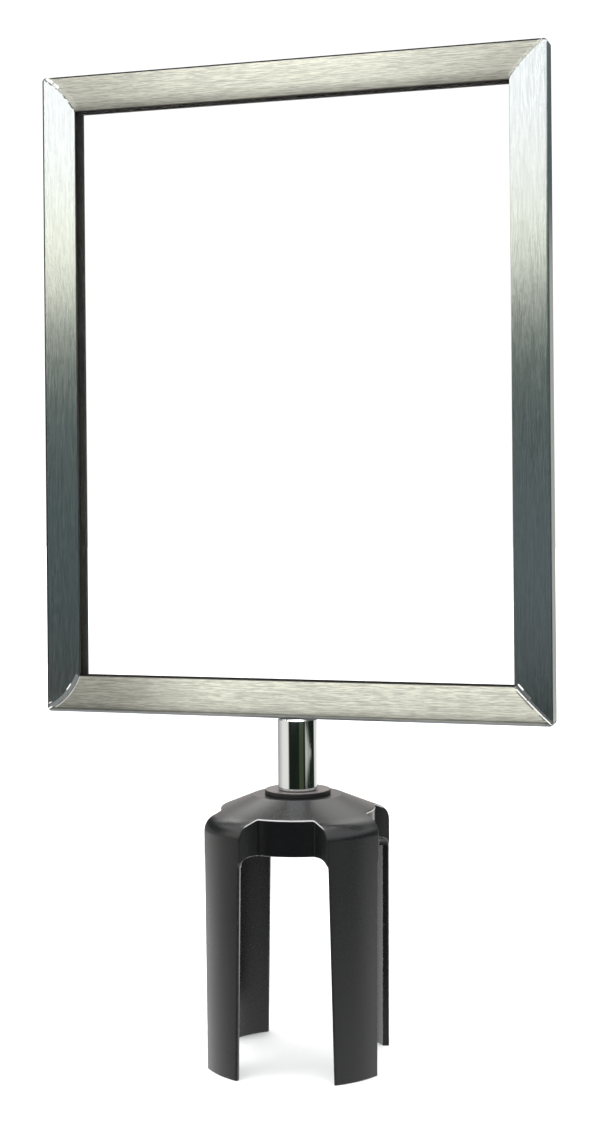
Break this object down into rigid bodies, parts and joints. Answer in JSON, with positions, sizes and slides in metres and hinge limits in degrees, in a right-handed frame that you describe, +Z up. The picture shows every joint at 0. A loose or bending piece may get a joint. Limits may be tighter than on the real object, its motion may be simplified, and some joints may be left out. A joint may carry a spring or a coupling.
{
  "type": "post-top sign holder",
  "caption": "Upright brushed steel sign frame with clear lenses on a short chrome stem and a legged black cap that slips over a crowd-barrier post.",
  "frame": {"origin": "in the plane of the cap's leg ends, below the middle of the sign; the post's axis stands 2.1 mm to the right of it", "axes": "+Z up, along the post's axis; the sign faces -Y; +X to the right seen from the front"},
  "size_m": [0.2366, 0.0822, 0.4464],
  "materials": {
    "frame_steel": "brushed along each bar, mitres ground by hand",
    "weld_metal": "as welded",
    "guide_plastic": "matte black extrusion",
    "lens_acrylic": "clear polished acrylic",
    "stem_chrome": "bright plated",
    "plug_steel": "turned",
    "flange_black": "satin black",
    "cap_plastic": "fine moulded grain, satin charcoal",
    "fastener_zinc": "zinc plated"
  },
  "bodies": {
    "cap": {"post_adapter": "cap_plastic", "adapter_flat_washer": "fastener_zinc", "stem_flange": "flange_black"},
    "sign": {"top_rail": "frame_steel", "bottom_rail": "frame_steel", "left_stile": "frame_steel", "right_stile": "frame_steel", "corner_welds": "weld_metal", "left_guide": "guide_plastic", "right_guide": "guide_plastic", "bottom_guide": "guide_plastic", "top_front_strip": "guide_plastic", "top_rear_strip": "guide_plastic", "frame_screw": "fastener_zinc", "stem_tube": "stem_chrome", "stem_upper_plug": "plug_steel", "stem_lower_plug": "plug_steel", "adapter_bolt": "fastener_zinc", "adapter_lock_washer": "fastener_zinc"},
    "front_pane": {"front_lens": "lens_acrylic"},
    "rear_pane": {"rear_lens": "lens_acrylic"}
  },
  "joints": [
    {"name": "sign_swivel", "type": "hinge", "parent": "cap", "child": "sign", "pos_m": [0.0021, 0, 0.1196], "axis": [0, 0, 1], "continuous": true},
    {"name": "front_lens_slide", "type": "slide", "parent": "sign", "child": "front_pane", "axis": [0, 0, 1], "range_m": [0, 0.286]},
    {"name": "rear_lens_slide", "type": "slide", "parent": "sign", "child": "rear_pane", "axis": [0, 0, 1], "range_m": [0, 0.286]}
  ]
}
